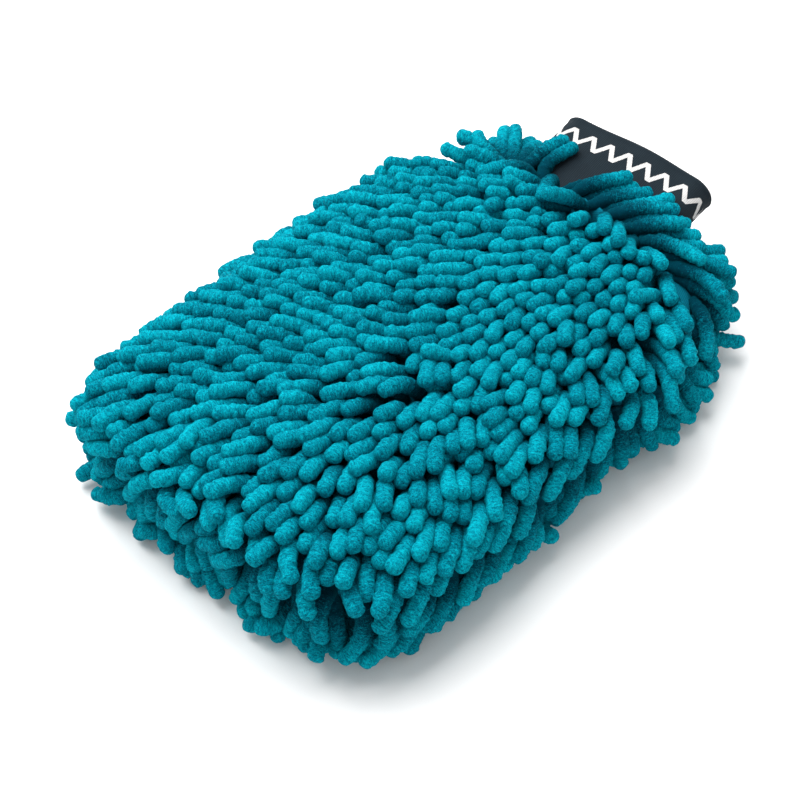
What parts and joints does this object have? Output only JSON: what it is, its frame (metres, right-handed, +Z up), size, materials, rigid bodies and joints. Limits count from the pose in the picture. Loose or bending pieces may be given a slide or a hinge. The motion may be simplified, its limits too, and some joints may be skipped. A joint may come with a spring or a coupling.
{
  "type": "wash mitt",
  "caption": "Padded chenille wash mitt with rows of soft fingers on both sides, a hand pocket and a knitted elastic cuff that bends and opens.",
  "frame": {"origin": "on the surface that the mitt lies on, under the middle of its overall box", "axes": "+Y along the mitt from the closed end to the cuff, +X across it, +Z up from the lower side to the upper side"},
  "size_m": [0.2, 0.3051, 0.07],
  "materials": {
    "chenille": "matte microfibre chenille",
    "knitted_backing": "matte knit",
    "foam": "matte wadding",
    "lining": "matte woven lining",
    "elastic": "matte knitted elastic",
    "thread": "polyester thread"
  },
  "bodies": {
    "mitt_body": {"top_chenille_row_01": "chenille", "top_chenille_row_02": "chenille", "top_chenille_row_03": "chenille", "top_chenille_row_04": "chenille", "top_chenille_row_05": "chenille", "top_chenille_row_06": "chenille", "top_chenille_row_07": "chenille", "top_chenille_row_08": "chenille", "top_chenille_row_09": "chenille", "top_chenille_row_10": "chenille", "top_chenille_row_11": "chenille", "top_chenille_row_12": "chenille", "top_chenille_row_13": "chenille", "top_chenille_row_14": "chenille", "top_chenille_row_15": "chenille", "top_chenille_row_16": "chenille", "top_chenille_row_17": "chenille", "top_chenille_row_18": "chenille", "top_chenille_row_19": "chenille", "top_chenille_row_20": "chenille", "bottom_chenille_row_01": "chenille", "bottom_chenille_row_02": "chenille", "bottom_chenille_row_03": "chenille", "bottom_chenille_row_04": "chenille", "bottom_chenille_row_05": "chenille", "bottom_chenille_row_06": "chenille", "bottom_chenille_row_07": "chenille", "bottom_chenille_row_08": "chenille", "bottom_chenille_row_09": "chenille", "bottom_chenille_row_10": "chenille", "bottom_chenille_row_11": "chenille", "bottom_chenille_row_12": "chenille", "bottom_chenille_row_13": "chenille", "bottom_chenille_row_14": "chenille", "bottom_chenille_row_15": "chenille", "bottom_chenille_row_16": "chenille", "bottom_chenille_row_17": "chenille", "bottom_chenille_row_18": "chenille", "bottom_chenille_row_19": "chenille", "bottom_chenille_row_20": "chenille", "top_backing_panel": "knitted_backing", "top_padding": "foam", "top_pocket_lining": "lining", "bottom_backing_panel": "knitted_backing", "bottom_padding": "foam", "bottom_pocket_lining": "lining", "perimeter_seam": "thread"},
    "cuff_lower": {"cuff_elastic_lower": "elastic", "neck_overlock_lower": "thread", "neck_fringe_lower": "chenille", "cuff_side_seam_left": "thread", "cuff_side_seam_right": "thread"},
    "cuff_upper": {"cuff_elastic_upper": "elastic", "neck_overlock_upper": "thread", "neck_fringe_upper": "chenille"}
  },
  "joints": [
    {"name": "cuff_flex", "type": "hinge", "parent": "mitt_body", "child": "cuff_lower", "pos_m": [0, 0.103, 0.04], "axis": [1, 0, 0], "range_deg": [-15, 15], "stiffness_Nm_per_rad": 0.15},
    {"name": "cuff_open", "type": "hinge", "parent": "cuff_lower", "child": "cuff_upper", "pos_m": [0, 0.102, 0.05], "axis": [1, 0, 0], "range_deg": [0, 20], "stiffness_Nm_per_rad": 0.15}
  ]
}
